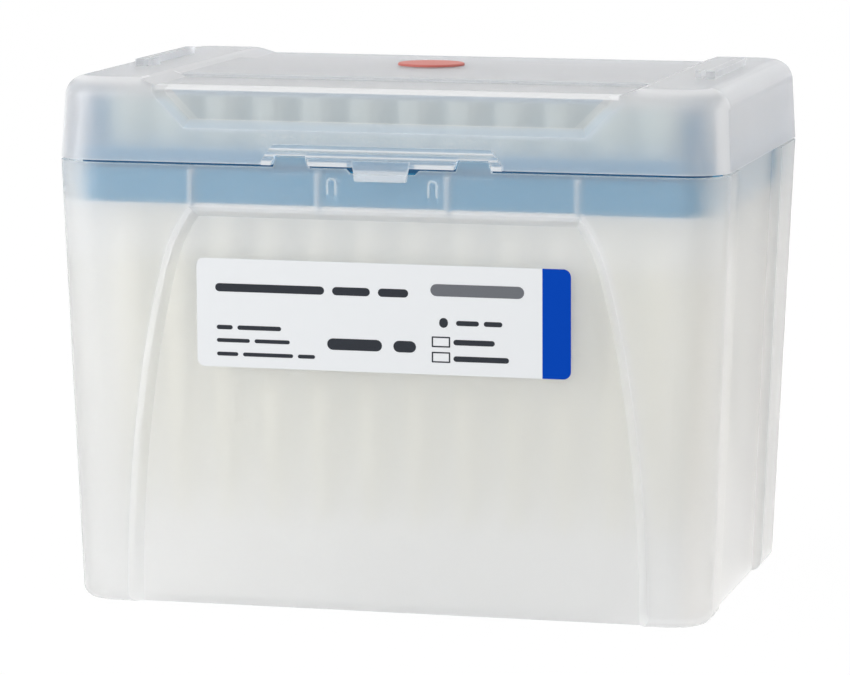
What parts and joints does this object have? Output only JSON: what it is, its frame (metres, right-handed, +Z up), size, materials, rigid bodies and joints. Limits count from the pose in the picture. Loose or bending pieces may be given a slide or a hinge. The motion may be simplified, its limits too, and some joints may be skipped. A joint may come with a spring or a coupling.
{
  "type": "box of pipette tips",
  "caption": "Hinged see-through box with a latch tab and arched front panel, holding a blue rack of filter pipette tips standing in a close grid.",
  "frame": {"origin": "centre of the bounding box at the height of the surface the box stands on", "axes": "+X along the width of the front, +Y from the latch towards the hinge, +Z up"},
  "size_m": [0.1238, 0.0892, 0.0979],
  "materials": {
    "clear_plastic": "fine-textured natural polypropylene, see-through",
    "lid_plastic": "satin natural polypropylene with a polished window, see-through",
    "rack_plastic": "satin blue polypropylene",
    "tip_plastic": "natural polypropylene, slightly milky",
    "filter_core": "porous white sintered polyethylene",
    "label_film": "white film with a blue end field",
    "dot_film": "salmon-red film"
  },
  "bodies": {
    "base": {"base_box": "clear_plastic", "tip_rack": "rack_plastic", "front_label": "label_film", "tips_row_a": "tip_plastic", "tips_row_b": "tip_plastic", "tips_row_c": "tip_plastic", "tips_row_d": "tip_plastic", "tips_row_e": "tip_plastic", "tips_row_f": "tip_plastic", "tips_row_g": "tip_plastic", "tips_row_h": "tip_plastic", "filters_row_a": "filter_core", "filters_row_b": "filter_core", "filters_row_c": "filter_core", "filters_row_d": "filter_core", "filters_row_e": "filter_core", "filters_row_f": "filter_core", "filters_row_g": "filter_core", "filters_row_h": "filter_core"},
    "lid": {"lid": "lid_plastic", "indicator_dot": "dot_film"}
  },
  "joints": [
    {"name": "lid_hinge", "type": "hinge", "parent": "base", "child": "lid", "pos_m": [0, 0.0427, 0.0795], "axis": [-1, 0, 0], "range_deg": [0, 110]}
  ]
}
